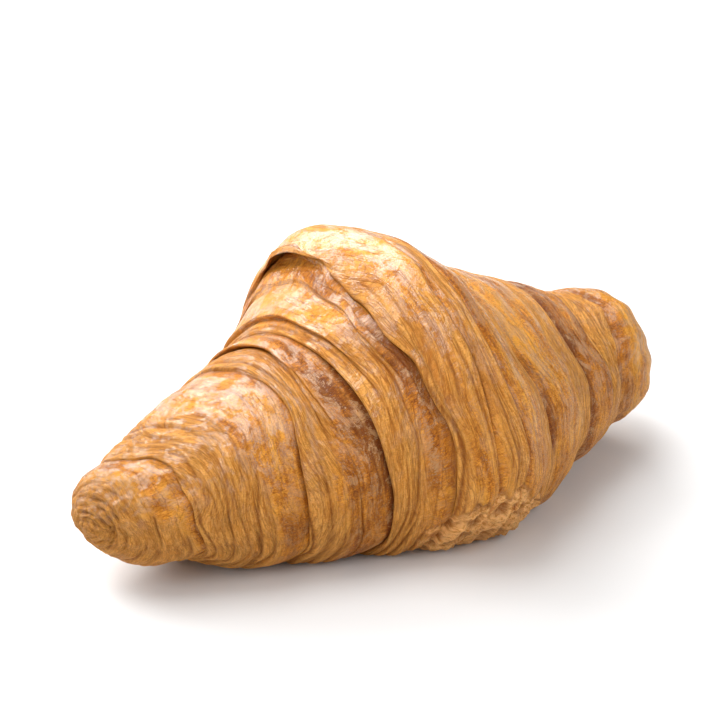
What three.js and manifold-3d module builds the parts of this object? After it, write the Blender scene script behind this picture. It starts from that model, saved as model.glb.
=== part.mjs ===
// Croissant: one roll of laminated dough, baked in one piece. Millimetres, +Z up.
//
// The roll lies along X, tip to tip, and rests on the flat underside that it baked on. The origin is
// on that flat, under the middle of the roll's box. The crust is a tube around a low arched axis. Each
// wrap of the dough stands on it as a swelling that falls into a crease, steep on the side of the wrap
// that lies on top.
// An angle around the roll is 0 at the front (-Y), 90 degrees at the crown and 180 at the back.

import * as THREE from 'three';
import { mergeVertices } from 'three/addons/utils/BufferGeometryUtils.js';
import Module from 'manifold-3d';

// Driving sizes of the roll.
const LENGTH = 156;
const HALF = LENGTH / 2;
const WIDTH_TO_HEIGHT = 1.2;   // the proofed dough spreads sideways
const RING_TILT = 2.5;         // the front of each wrap sits this far towards +X of its crown
const LEFT_END_LENGTH = 10;    // length over which the narrow left end rounds off
const RIGHT_END_LENGTH = 12;   // length over which the blunt right end rounds off
const RIGHT_BEND = 4;          // the right tip bends this far to the front
const BEND_FROM = 15;          // place along the roll where that bend starts

// Thickness of the roll, at nine stations spaced evenly from the left tip to the right one:
// the radius before the ends are rounded, and the height of the axis over the table.
const RADII = [8, 15.5, 23, 29.5, 41, 35.5, 27, 20, 15.5];
const AXIS_HEIGHTS = [17.5, 19, 19.5, 21.5, 28.5, 22.5, 22, 21, 22.5];

// Creases where one wrap ends on the next, by distance along the roll.
const CREASES = [
  { at: -68, depth: 0.9 },
  { at: -59, depth: 1.5 },
  { at: -36, depth: 2.2 },
  { at: -28, depth: 0.8 },
  { at: -21, depth: 3.0 },
  { at: -11, depth: 2.0 },
  { at: 0, depth: 1.0 },
  { at: 19, depth: 1.6 },
  { at: 43, depth: 1.7 },
  { at: 54, depth: 1.1 },
  { at: 64, depth: 1.3 },
];
const TOP_WRAP_AT = -5;        // wraps left of here step down to the left, the others to the right
const STEEP_SIDE = 1.6;        // reach of a crease on its steep side
const GENTLE_SIDE = 5.5;       // reach of a crease on the side where the lower wrap dips into it

// The last wrap stands clear of the crown behind and leaves a pocket that opens towards the left tip.
const FLAP = { at: -3, halfLength: 11, angle: 118, halfAngle: 42, lift: 3 };
const POCKET = { x: -8.5, y: 18.5, z: 56.5, length: 9, width: 12, height: 2.2, pitch: 32, roll: 24 };

// The torn end of the dough, low on the front, just right of the middle.
const TAIL = { at: 9, halfLength: 12, angle: -14, halfAngle: 17, lift: 1.6 };

// Mesh density.
const RINGS = 92;
const SIDES = 44;
const END_CROWDING = 0.3;      // 0 spaces the rings evenly, 1 crowds them into the ends

const FLOOR_BLOCK = { length: 220, width: 160, height: 40 };

/** Curve whose X is the place along the roll, Y the radius and Z the height of the axis. */
function thicknessCurve() {
  const stations = RADII.map((radius, index) => {
    const along = -HALF + (LENGTH * index) / (RADII.length - 1);
    return new THREE.Vector3(along, radius, AXIS_HEIGHTS[index]);
  });
  return new THREE.CatmullRomCurve3(stations, false, 'catmullrom', 0.5);
}

/** Factor that rounds the radius off to nothing at the two tips. */
function endRounding(along) {
  const endLength = along < 0 ? LEFT_END_LENGTH : RIGHT_END_LENGTH;
  const into = Math.max(0, Math.abs(along) - (HALF - endLength)) / endLength;
  return Math.sqrt(Math.max(0, 1 - into * into));
}

/** How far the roll's axis is bent to the front at a place along it. */
function frontBend(along) {
  const part = Math.max(0, along - BEND_FROM) / (HALF - BEND_FROM);
  return RIGHT_BEND * part * part;
}

/** How far the creases draw the crust in at a place along the roll. */
function creaseDepth(along) {
  let depth = 0;
  for (const crease of CREASES) {
    const towardsTop = crease.at < TOP_WRAP_AT ? along - crease.at : crease.at - along;
    const reach = towardsTop > 0 ? STEEP_SIDE : GENTLE_SIDE;
    depth += crease.depth * Math.exp(-Math.abs(towardsTop) / reach);
  }
  return depth;
}

/** Smooth hill, 1 at its centre and 0 from one half width on. */
function hill(offset, halfWidth) {
  const ratio = Math.min(1, Math.abs(offset) / halfWidth);
  return (1 - ratio * ratio) ** 2;
}

/** Rise of the crust over a patch such as the flap or the tail, whose angles are in degrees. */
function patchLift(patch, along, degrees) {
  const around = ((degrees - patch.angle + 540) % 360) - 180;
  return patch.lift * hill(along - patch.at, patch.halfLength) * hill(around, patch.halfAngle);
}

/** Point of the crust at a place along the roll and an angle around it. */
function crustPoint(curve, along, angle) {
  const { y: fullRadius, z: axisHeight } = curve.getPoint((along + HALF) / LENGTH);
  const rounding = endRounding(along);
  const degrees = THREE.MathUtils.radToDeg(angle);
  const lift = patchLift(FLAP, along, degrees) + patchLift(TAIL, along, degrees);
  const radius = Math.max(0, (fullRadius - creaseDepth(along) + lift) * rounding);
  return new THREE.Vector3(
    along + RING_TILT * rounding * Math.cos(angle),
    -WIDTH_TO_HEIGHT * radius * Math.cos(angle) - frontBend(along),
    axisHeight + radius * Math.sin(angle),
  );
}

/** Whole crust before its underside is flattened: a sphere whose points are moved out to the roll. */
function rollGeometry() {
  const curve = thicknessCurve();
  const geometry = new THREE.SphereGeometry(1, SIDES, RINGS);
  const { position, uv } = geometry.attributes;
  for (let index = 0; index < position.count; index += 1) {
    const even = 1 - 2 * uv.getY(index);
    const crowded = -Math.cos(Math.PI * (1 - uv.getY(index)));
    const along = HALF * THREE.MathUtils.lerp(even, crowded, END_CROWDING);
    const point = crustPoint(curve, along, uv.getX(index) * 2 * Math.PI);
    position.setXYZ(index, point.x, point.y, point.z);
  }
  return geometry;
}

/** Lens-shaped hollow under the lifted edge of the last wrap. */
function pocketGeometry() {
  const geometry = new THREE.SphereGeometry(1, 28, 14);
  geometry.scale(POCKET.length, POCKET.width, POCKET.height);
  geometry.rotateX(THREE.MathUtils.degToRad(-POCKET.roll));
  geometry.rotateY(THREE.MathUtils.degToRad(-POCKET.pitch));
  geometry.translate(POCKET.x, POCKET.y, POCKET.z);
  return geometry;
}

/** Block under the table plane that the underside is flattened with. */
function floorGeometry() {
  const geometry = new THREE.BoxGeometry(FLOOR_BLOCK.length, FLOOR_BLOCK.width, FLOOR_BLOCK.height);
  geometry.translate(0, 0, -FLOOR_BLOCK.height / 2);
  return geometry;
}

/** Solid of a closed geometry, for cutting. */
function solidOf(library, geometry) {
  const bare = geometry.clone();
  bare.deleteAttribute('normal');
  bare.deleteAttribute('uv');
  const merged = mergeVertices(bare, 1e-4);
  return new library.Manifold(new library.Mesh({
    numProp: 3,
    vertProperties: new Float32Array(merged.attributes.position.array),
    triVerts: new Uint32Array(merged.index.array),
  }));
}

/** Geometry of a solid, after cutting. */
function geometryOf(solid) {
  const mesh = solid.getMesh();
  const geometry = new THREE.BufferGeometry();
  geometry.setAttribute('position', new THREE.BufferAttribute(mesh.vertProperties, 3));
  geometry.setIndex(new THREE.BufferAttribute(mesh.triVerts, 1));
  geometry.computeVertexNormals();
  return geometry;
}

/** Moves a geometry along the table until the origin is under the middle of its box. */
function centred(geometry) {
  geometry.computeBoundingBox();
  const middle = geometry.boundingBox.getCenter(new THREE.Vector3());
  return geometry.translate(-middle.x, -middle.y, 0);
}

const library = await Module();
library.setup();

const crust = solidOf(library, rollGeometry())
  .subtract(solidOf(library, pocketGeometry()))
  .subtract(solidOf(library, floorGeometry()));

const croissantGeometry = centred(geometryOf(crust));
const bakedDough = new THREE.MeshStandardMaterial({ color: 0xc98a3f, roughness: 0.5, metalness: 0 });
const croissant = new THREE.Mesh(croissantGeometry, bakedDough);
croissant.name = 'croissant';

const model = new THREE.Group();
model.add(croissant);

export default model;
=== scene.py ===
"""Croissant: one roll of laminated dough, egg-washed and baked in one piece.

The roll lies along X and rests on its flat underside. A place on its crust is given by how far along
the roll it is, in millimetres, and by an angle around it: 0 at the front (-Y), 90 degrees at the crown
and 180 at the back. Seams are the creases where a wrap of dough ends on the wrap below it. Each one
faces a tip, and the lip of the upper wrap hangs over it. Behind the lip lie the cut layers of the
sheet, and behind those the smooth skin that browns towards the next crease.
"""

import dataclasses
import logging
import math
from dataclasses import dataclass
from enum import Enum

import bmesh
import bpy
import numpy as np
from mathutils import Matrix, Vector


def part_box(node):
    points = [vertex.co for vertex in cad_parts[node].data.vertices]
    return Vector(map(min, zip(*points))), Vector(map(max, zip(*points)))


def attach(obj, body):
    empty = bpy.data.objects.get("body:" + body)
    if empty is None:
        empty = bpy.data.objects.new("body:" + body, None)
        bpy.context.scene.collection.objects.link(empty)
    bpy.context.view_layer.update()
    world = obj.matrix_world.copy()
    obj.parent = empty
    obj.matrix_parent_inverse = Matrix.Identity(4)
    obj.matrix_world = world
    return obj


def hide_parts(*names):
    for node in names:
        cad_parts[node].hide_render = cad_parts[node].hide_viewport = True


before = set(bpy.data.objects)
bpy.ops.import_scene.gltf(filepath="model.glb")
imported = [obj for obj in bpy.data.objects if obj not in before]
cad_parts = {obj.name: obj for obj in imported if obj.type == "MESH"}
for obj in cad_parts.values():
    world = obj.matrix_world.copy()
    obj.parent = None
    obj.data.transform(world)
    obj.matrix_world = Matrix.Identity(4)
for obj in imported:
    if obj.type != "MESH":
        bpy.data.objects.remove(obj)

LOG = logging.getLogger("croissant")
NODE = "croissant"
MM = 0.001
TURN = 2 * math.pi
TINY = 1e-9

Points = tuple[tuple[float, float], ...]
Span = tuple[float, float]
Colour = tuple[float, float, float]
Socket = bpy.types.NodeSocket


# ---------------------------------------------------------------------------------------------------
# Curves and waves
# ---------------------------------------------------------------------------------------------------


def ramp(low: float, high: float, values: np.ndarray) -> np.ndarray:
    """Smooth step of some values.

    Args:
        low: Value at which the step starts.
        high: Value at which the step ends.
        values: Values to look up.

    Returns:
        0 below low, 1 above high and a smooth rise between them.
    """
    part = np.clip((values - low) / (high - low), 0.0, 1.0)
    return part * part * (3.0 - 2.0 * part)


def around(points: Points, degrees: np.ndarray) -> np.ndarray:
    """Value that changes smoothly around the roll.

    Args:
        points: Pairs of angle in degrees and value, in rising order of angle.
        degrees: Angles to look up.

    Returns:
        The value at each angle. It closes on itself after a full turn.
    """
    angles = np.array([angle for angle, _ in points])
    values = np.array([value for _, value in points])
    turned = (degrees - angles[0]) % 360.0 + angles[0]
    angles = np.append(angles, angles[0] + 360.0)
    values = np.append(values, values[0])
    span = np.clip(np.searchsorted(angles, turned, side="right") - 1, 0, len(angles) - 2)
    part = (turned - angles[span]) / (angles[span + 1] - angles[span])
    return values[span] + (values[span + 1] - values[span]) * ramp(0.0, 1.0, part)


def spline(values: tuple[float, ...], part: np.ndarray) -> np.ndarray:
    """Catmull-Rom curve through evenly spaced values.

    Args:
        values: Values at the stations.
        part: Places to look up, from 0 at the first station to 1 at the last.

    Returns:
        The curve's value at each place.
    """
    first, last = 2 * values[0] - values[1], 2 * values[-1] - values[-2]
    knots = np.array([first, *values, last])
    place = np.clip(part * (len(values) - 1), 0.0, len(values) - 1 - TINY)
    span = place.astype(int)
    step = place - span
    before, start, end, after = (knots[span + shift] for shift in range(4))
    leave, arrive = (end - before) / 2, (after - start) / 2
    cubic = 2 * start - 2 * end + leave + arrive
    square = -3 * start + 3 * end - 2 * leave - arrive
    return ((cubic * step + square) * step + leave) * step + start


def direction(vectors: np.ndarray) -> np.ndarray:
    """Scales vectors, which lie along the last axis, to a length of 1."""
    return vectors / np.maximum(np.linalg.norm(vectors, axis=-1, keepdims=True), TINY)


def bell(away: np.ndarray, width: float) -> np.ndarray:
    """Bell curve: 1 in the middle, and about a third at its width away from it."""
    return np.exp(-((away / width) ** 2))


def share_out(places: np.ndarray, density: np.ndarray, count: int) -> np.ndarray:
    """Shares a range out into steps, shorter where the density is higher.

    Args:
        places: Evenly spaced places from one end of the range to the other.
        density: Density at each of them.
        count: Number of steps.

    Returns:
        The ends of the steps, one more than there are steps.
    """
    total = np.concatenate([[0.0], np.cumsum((density[1:] + density[:-1]) / 2)])
    return np.interp(np.linspace(0.0, total[-1], count + 1), total, places)


@dataclass(frozen=True)
class Waves:
    """Seeded sum of waves over the crust, which closes on itself around the roll.

    Attributes:
        seed: Seed of the waves.
        turns: Most waves in one turn around the roll.
        height: Height of the sum, about, in the unit of what it makes uneven.
        length: Shortest wave along the roll, in millimetres.
        terms: Number of waves.
    """

    seed: int
    turns: int
    height: float = 1.0
    length: float = 9.0
    terms: int = 7

    def over(self, along: np.ndarray, angle: np.ndarray) -> np.ndarray:
        """Works the waves out over the crust.

        Args:
            along: Places along the roll.
            angle: Angles around it, in radians.

        Returns:
            Values of about -height to height.
        """
        source = np.random.default_rng(self.seed)
        total = np.zeros(np.broadcast(along, angle).shape)
        for _ in range(self.terms):
            pitch = source.uniform(-1.0, 1.0) * TURN / self.length
            turn = source.integers(0, self.turns + 1)
            total += np.sin(pitch * along + turn * angle + source.uniform(0.0, TURN))
        return self.height * total / math.sqrt(self.terms)

    def ring(self, angle: np.ndarray) -> np.ndarray:
        """Works the waves out around a ring, for what is the same all along the roll."""
        return self.over(0 * angle, angle)


# ---------------------------------------------------------------------------------------------------
# Shape of the dough
# ---------------------------------------------------------------------------------------------------


@dataclass
class Fields:
    """What the crust is made of, and where shade and highlight are painted on it, at each of its points.

    Attributes:
        rise: Height over the plain body, in millimetres.
        slide: Shift along X, in millimetres.
        layers: 1 on the cut layers of the sheet, 0 on skin.
        bake: 0 on golden crust to 1 and more on the brownest.
        painted_shade: Painted shade, 1 at the bottom of a crease or under the edge of a layer.
        crumb: 1 on the torn end of the dough.
        edge: Painted highlight, 1 on the crests of the layers' edges.
    """

    rise: np.ndarray
    slide: np.ndarray
    layers: np.ndarray
    bake: np.ndarray
    painted_shade: np.ndarray
    crumb: np.ndarray
    edge: np.ndarray

    @classmethod
    def plain(cls, shape: tuple[int, ...]) -> "Fields":
        """Makes the fields of a bare body, all 0, over a grid of a given shape."""
        return cls(*(np.zeros(shape) for _ in dataclasses.fields(cls)))


class Facing(Enum):
    """Tip that the edge of a wrap faces. The value is the way along X from the crease to its wrap."""

    LEFT = 1
    RIGHT = -1


@dataclass(frozen=True)
class LipStation:
    """One station on the way from the bottom of a crease, out around its lip and onto the lip's back.

    Attributes:
        way: Share of the way, counted along the roll.
        drop: Share of the crease's depth by which it lies lower than the crust.
        tuck: Share of the lip's thickness by which it lies lower than the lip's back.
        raised: Share of the lip's lift that it has.
        reach_in: Share of the crease's reach under the lip.
        reach_out: Share of the lip's overhang.
    """

    way: float
    drop: float
    tuck: float
    raised: float
    reach_in: float
    reach_out: float


LIP_STATIONS = (
    LipStation(way=0.0, drop=1.0, tuck=0.0, raised=0.0, reach_in=1.0, reach_out=0.0),
    LipStation(way=0.25, drop=0.72, tuck=0.35, raised=0.3, reach_in=0.7, reach_out=0.25),
    LipStation(way=0.55, drop=0.0, tuck=1.0, raised=1.0, reach_in=0.0, reach_out=0.6),
    LipStation(way=0.75, drop=0.0, tuck=0.5, raised=1.0, reach_in=0.0, reach_out=1.0),
    LipStation(way=0.9, drop=0.0, tuck=0.12, raised=1.0, reach_in=0.0, reach_out=0.75),
    LipStation(way=1.0, drop=0.0, tuck=0.0, raised=1.0, reach_in=0.0, reach_out=0.4),
)


def on_lip(value: str, way: np.ndarray) -> np.ndarray:
    """Looks up one of the values of the lip's stations.

    Args:
        value: Name of the value.
        way: Shares of the way around the lip.

    Returns:
        The value at each of them.
    """
    ways = [station.way for station in LIP_STATIONS]
    return np.interp(way, ways, [getattr(station, value) for station in LIP_STATIONS])


@dataclass(frozen=True)
class Seam:
    """Crease where one wrap of the dough ends on the wrap below it. Sizes are in millimetres.

    Attributes:
        at: Place along the roll.
        facing: Tip that the upper wrap's edge faces.
        depth: Drop from the crust to the bottom of the crease.
        strength: How much of the seam there is, by angle.
        drift: How far the seam strays along X, by angle.
        under: How far the crease reaches in under the lip.
        overhang: How far the lip hangs over the wrap below.
        lift: How far the lip stands up off the crust, by angle.
        roll_on: Length over which the lip's lift dies out behind it.
        lip: Thickness of the lip.
        roll_off: Length over which the lower wrap's skin dips into the crease.
        layers: Width of the cut layers behind the lip, by angle.
        shade: How much shade is painted into the crease itself, by angle; it also scales the browning beside
            it.
        brown: How dark the lower wrap is baked beside the crease.
        browned: Length over which that darkness dies out.
        wrap: Whether a whole wrap ends here, and not just a layer of it.
    """

    at: float
    facing: Facing
    depth: float
    strength: Points = ((0.0, 1.0),)
    drift: Points = ((0.0, 0.0),)
    under: float = 0.7
    overhang: float = 0.5
    lift: Points = ((0.0, 0.15),)
    roll_on: float = 6.0
    lip: float = 0.9
    roll_off: float = 4.5
    layers: Points = ()
    shade: Points = ((0.0, 1.0),)
    brown: float = 0.8
    browned: float = 4.0
    wrap: bool = True

    # Length along the roll of the way around the lip.
    RISER = 1.3
    # Lengths over which three things die out on the wrap below: the sharp half of its dip, its reach
    # under the lip, and the painted shade of the crease.
    SHARP_DIP, TUCKED, DARKENED = 0.6, 0.5, 0.45
    # Part of the way around the lip over which the painted shade ends, and the depth that makes it full.
    DARK_WAY, DARK_DEPTH = (0.45, 0.75), 1.2
    # Length over which the overhang dies out behind the lip.
    CARRIED = 2.2
    # Most of a seam's strength that browns the wrap below.
    MOST_BROWNED = 1.2
    # Distances behind the crease over which the cut layers start, and distances from their own width
    # over which they end.
    LAYERS_START, LAYERS_END = (0.2, 0.9), (-1.0, 1.5)

    def add(self, fields: Fields, along: np.ndarray, angle: np.ndarray, seed: int) -> None:
        """Adds the seam and its lip to the crust.

        Args:
            fields: The crust, which is changed.
            along: Places along the roll.
            angle: Angles around it.
            seed: Seed of the seam's own unevenness.
        """
        degrees = np.degrees(angle)
        behind = self.facing.value * (along - self.at)
        uneven = Waves(seed, turns=9, height=0.18).ring(angle)
        amount = np.maximum(around(self.strength, degrees) * (1 + uneven), 0.0)
        self.add_step(fields, behind, degrees, amount)
        self.add_bake(fields, behind, degrees, amount)
        if self.layers:
            self.add_layers(fields, behind, angle, seed)

    def add_step(
        self, fields: Fields, behind: np.ndarray, degrees: np.ndarray, amount: np.ndarray
    ) -> None:
        """Dips the wrap below into the crease, and stands the lip up and out over it.

        Args:
            fields: The crust, which is changed.
            behind: Distances behind the crease, less than 0 on the wrap below.
            degrees: Angles around the roll.
            amount: How much of the seam there is at each angle.
        """
        there = np.minimum(amount, 1.0)
        depth, lift = self.depth * amount, around(self.lift, degrees) * there
        before = np.minimum(behind, 0.0)
        beyond = np.maximum(behind - self.RISER, 0.0)
        way = np.clip(behind / self.RISER, 0.0, 1.0)
        zones = (behind < 0, behind <= self.RISER)

        dip = -depth * (np.exp(before / self.SHARP_DIP) + np.exp(before / self.roll_off)) / 2
        thickness = np.minimum(self.lip, depth + lift)
        riser = lift * on_lip("raised", way) - depth * on_lip("drop", way) - thickness * on_lip("tuck", way)
        back = lift * np.exp(-beyond / self.roll_on)
        fields.rise += np.select(zones, (dip, riser), back)

        overhang = self.overhang * there
        dip = self.under * amount * np.exp(before / self.TUCKED)
        riser = self.under * amount * on_lip("reach_in", way) - overhang * on_lip("reach_out", way)
        riser -= there * behind
        carried = LIP_STATIONS[-1].reach_out * overhang + there * self.RISER
        back = -carried * np.exp(-beyond / self.CARRIED)
        fields.slide += self.facing.value * np.select(zones, (dip, riser), back)

    def add_bake(
        self, fields: Fields, behind: np.ndarray, degrees: np.ndarray, amount: np.ndarray
    ) -> None:
        """Paints shade into the crease, and browns the wrap below beside it.

        Args:
            fields: The crust, which is changed.
            behind: Distances behind the crease, less than 0 on the wrap below.
            degrees: Angles around the roll.
            amount: How much of the seam there is at each angle.
        """
        shade = around(self.shade, degrees)
        before = np.minimum(behind, 0.0)
        way = np.clip(behind / self.RISER, 0.0, 1.0)
        # Painted shade: full at the crease and under the lip, fading out on the wrap below and around the
        # lip.
        crease = np.where(behind < 0, np.exp(before / self.DARKENED), 1 - ramp(*self.DARK_WAY, way))
        deep = np.minimum(self.depth * amount / self.DARK_DEPTH, 1.0)
        fields.painted_shade = np.maximum(fields.painted_shade, shade * crease * deep)
        browned = np.where(behind < 0, np.exp(before / self.browned), 0.0)
        fields.bake += self.brown * browned * np.minimum(amount, self.MOST_BROWNED) * shade

    def add_layers(self, fields: Fields, behind: np.ndarray, angle: np.ndarray, seed: int) -> None:
        """Bares the cut layers behind the lip.

        Args:
            fields: The crust, which is changed.
            behind: Distances behind the crease.
            angle: Angles around the roll.
            seed: Seed of the seam's own unevenness.
        """
        ragged = behind + Waves(seed + 50, turns=6).over(behind, angle)
        width = around(self.layers, np.degrees(angle))
        width = width * (1 + Waves(seed + 51, turns=4, height=0.15).ring(angle))
        fading, gone = (width + margin for margin in self.LAYERS_END)
        shown = ramp(*self.LAYERS_START, behind) * (1 - ramp(fading, gone, ragged))
        fields.layers = np.maximum(fields.layers, shown)


SEAMS = (
    Seam(
        at=-61.5, facing=Facing.LEFT, depth=1.1, brown=0.8,
        layers=((-30.0, 16.0), (10.0, 17.0), (50.0, 13.0), (90.0, 12.0)),
        strength=((-30.0, 1.0), (30.0, 0.9), (75.0, 0.5), (110.0, 1.0), (180.0, 1.0)),
        drift=((-35.0, 3.5), (10.0, 0.0), (60.0, -0.4), (110.0, -4.0), (180.0, -5.0)),
    ),
    Seam(
        at=-38.0, facing=Facing.LEFT, depth=1.9, brown=1.0,
        layers=((0.0, 9.0),),
        strength=((-90.0, 0.8), (-10.0, 1.0), (25.0, 1.0), (55.0, 0.25), (95.0, 0.35), (180.0, 1.0)),
        drift=((-30.0, 0.8), (10.0, -0.7), (40.0, 0.7), (65.0, 3.5), (100.0, 2.5), (180.0, -1.0)),
    ),
    Seam(
        at=-28.5, facing=Facing.LEFT, depth=1.3, wrap=False, roll_off=2.5, roll_on=3.0, brown=0.35,
        strength=((-90.0, 0.3), (-30.0, 0.2), (35.0, 0.25), (70.0, 0.8), (110.0, 1.2), (180.0, 1.0)),
        drift=((-30.0, 2.0), (10.0, 0.2), (57.0, -0.6), (80.0, 1.0), (102.0, 2.5), (180.0, 0.5)),
        lift=((-30.0, 0.2), (60.0, 0.2), (110.0, 0.6), (200.0, 0.3)),
    ),
    Seam(
        at=-21.2, facing=Facing.LEFT, depth=2.2, under=0.9, overhang=0.5, roll_off=6.0, roll_on=3.0,
        brown=1.9, browned=5.5,
        layers=((-30.0, 10.0), (60.0, 8.0), (85.0, 3.0), (120.0, 2.0), (180.0, 3.0)),
        strength=((-40.0, 0.8), (10.0, 0.9), (60.0, 1.0), (85.0, 0.6), (120.0, 0.45), (200.0, 0.6)),
        drift=((-30.0, 3.0), (-5.0, 1.0), (20.0, 0.2), (60.0, -0.2), (180.0, -1.5)),
        lift=((0.0, 0.1), (90.0, 0.2), (180.0, 0.3)),
        shade=((-30.0, 1.0), (60.0, 1.0), (85.0, 0.6), (180.0, 0.7)),
    ),
    Seam(
        at=-18.4, facing=Facing.LEFT, depth=0.6, wrap=False, under=0.2, overhang=0.15, lip=0.5,
        roll_off=1.6, roll_on=2.5, brown=0.6,
        strength=((45.0, 0.0), (75.0, 0.8), (110.0, 1.2), (180.0, 1.0), (230.0, 0.0)),
        drift=((73.0, 0.6), (95.0, 0.2), (123.0, 0.0), (180.0, -2.5)),
        lift=((60.0, 0.4), (110.0, 0.6)),
        shade=((90.0, 0.6), (120.0, 0.3), (180.0, 0.6)),
    ),
    Seam(
        at=-13.8, facing=Facing.LEFT, depth=0.8, wrap=False, under=0.2, overhang=0.15, lip=0.6,
        roll_off=1.8, roll_on=2.5, brown=0.4,
        strength=((20.0, 0.0), (60.0, 0.8), (110.0, 1.2), (180.0, 1.0), (230.0, 0.0)),
        drift=((55.0, -0.7), (88.0, 0.5), (112.0, 1.6), (135.0, 1.6), (180.0, -1.5)),
        lift=((60.0, 0.4), (110.0, 0.6)),
        shade=((80.0, 0.5), (115.0, 0.25), (180.0, 0.6)),
    ),
    Seam(
        at=-12.0, facing=Facing.LEFT, depth=0.8, wrap=False, under=0.3, overhang=0.3, lip=0.6,
        roll_off=1.2, roll_on=2.5, brown=0.3,
        strength=((45.0, 0.0), (70.0, 0.7), (100.0, 1.0), (180.0, 0.6), (230.0, 0.0)),
        drift=((71.0, -0.3), (84.0, 1.0), (104.0, 3.8), (130.0, 4.6), (150.0, 1.5), (180.0, -1.0)),
        lift=((60.0, 0.4), (110.0, 0.6)),
        shade=((70.0, 0.7), (105.0, 0.3), (180.0, 0.6)),
    ),
    Seam(
        at=-10.2, facing=Facing.LEFT, depth=2.0, under=1.0, overhang=0.6, lip=1.0, roll_off=1.6,
        brown=1.3, browned=5.5,
        layers=((60.0, 4.0), (95.0, 1.5), (180.0, 3.0)),
        strength=(
            (-40.0, 0.3), (0.0, 0.5), (35.0, 1.2), (50.0, 1.1), (75.0, 0.6), (98.0, 0.6), (106.0, 1.6),
            (120.0, 2.2), (140.0, 1.4), (160.0, 1.0), (220.0, 0.6),
        ),
        drift=(
            (-10.0, 0.0), (16.0, -1.0), (40.0, -2.4), (62.0, -1.4), (80.0, -0.4), (92.0, 1.6),
            (104.0, 6.4), (116.0, 9.0), (126.0, 9.4), (136.0, 7.0), (150.0, 5.0), (170.0, 2.0),
            (200.0, -1.0),
        ),
        lift=(
            (-40.0, 0.1), (60.0, 0.2), (94.0, 0.4), (104.0, 1.9), (114.0, 3.4), (125.0, 2.8),
            (135.0, 0.8), (146.0, -0.4), (160.0, -0.4), (220.0, 0.1),
        ),
        shade=((0.0, 0.9), (50.0, 1.0), (72.0, 0.6), (92.0, 0.5), (104.0, 0.0), (140.0, 0.0), (155.0, 0.5)),
    ),
    Seam(
        at=-7.8, facing=Facing.RIGHT, depth=0.7, wrap=False, roll_off=2.2, brown=0.8, browned=2.5,
        strength=((-5.0, 0.0), (15.0, 0.5), (25.0, 0.7), (45.0, 0.8), (62.0, 0.0)),
        drift=((-5.0, 1.6), (13.0, 1.2), (30.0, 0.0), (50.0, -0.2), (80.0, 1.0)),
    ),
    Seam(
        at=-1.5, facing=Facing.RIGHT, depth=1.2, roll_off=3.0, brown=0.65,
        layers=((0.0, 2.0),),
        strength=((-40.0, 0.2), (0.0, 0.6), (40.0, 1.1), (62.0, 0.9), (85.0, 0.4), (180.0, 0.5)),
        drift=(
            (-10.0, 0.0), (3.0, -1.2), (20.0, -2.3), (45.0, -1.3), (60.0, -0.4), (75.0, 3.0), (180.0, 5.0),
        ),
    ),
    Seam(
        at=4.0, facing=Facing.RIGHT, depth=1.0, wrap=False, roll_off=2.0, brown=0.45,
        layers=((0.0, 3.0),),
        strength=((-20.0, 0.5), (10.0, 1.0), (40.0, 0.8), (70.0, 0.3), (180.0, 0.3)),
        drift=((-5.0, 3.3), (13.0, 0.4), (40.0, -1.4), (60.0, 0.0), (85.0, 2.5), (180.0, 4.0)),
    ),
    Seam(
        at=16.0, facing=Facing.RIGHT, depth=1.8, brown=0.8,
        layers=((0.0, 5.0),),
        drift=((-7.0, 4.5), (14.0, 4.0), (26.0, 2.2), (42.0, -3.0), (60.0, -2.5), (85.0, 2.0), (180.0, 4.0)),
    ),
    Seam(
        at=39.0, facing=Facing.RIGHT, depth=1.4, brown=1.3, browned=6.0,
        layers=((0.0, 7.0),),
        drift=((-15.0, -1.0), (10.0, 2.0), (46.0, -0.5), (80.0, 2.5), (180.0, 3.0)),
    ),
    Seam(
        at=50.0, facing=Facing.LEFT, depth=0.6, wrap=False, roll_off=3.0, brown=0.6,
        layers=((0.0, 6.0),),
        strength=((-30.0, 0.3), (0.0, 0.7), (40.0, 1.0), (80.0, 0.6), (180.0, 0.4)),
        drift=((-12.0, -0.5), (20.0, 1.2), (46.0, -0.9), (80.0, 3.0), (180.0, 2.0)),
    ),
    Seam(
        at=58.5, facing=Facing.RIGHT, depth=1.2, brown=0.7,
        layers=((0.0, 4.0),),
        drift=((-26.0, 0.0), (-4.0, -2.2), (18.0, -3.5), (40.0, 0.5), (72.0, 6.0), (180.0, 1.0)),
    ),
)


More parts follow.
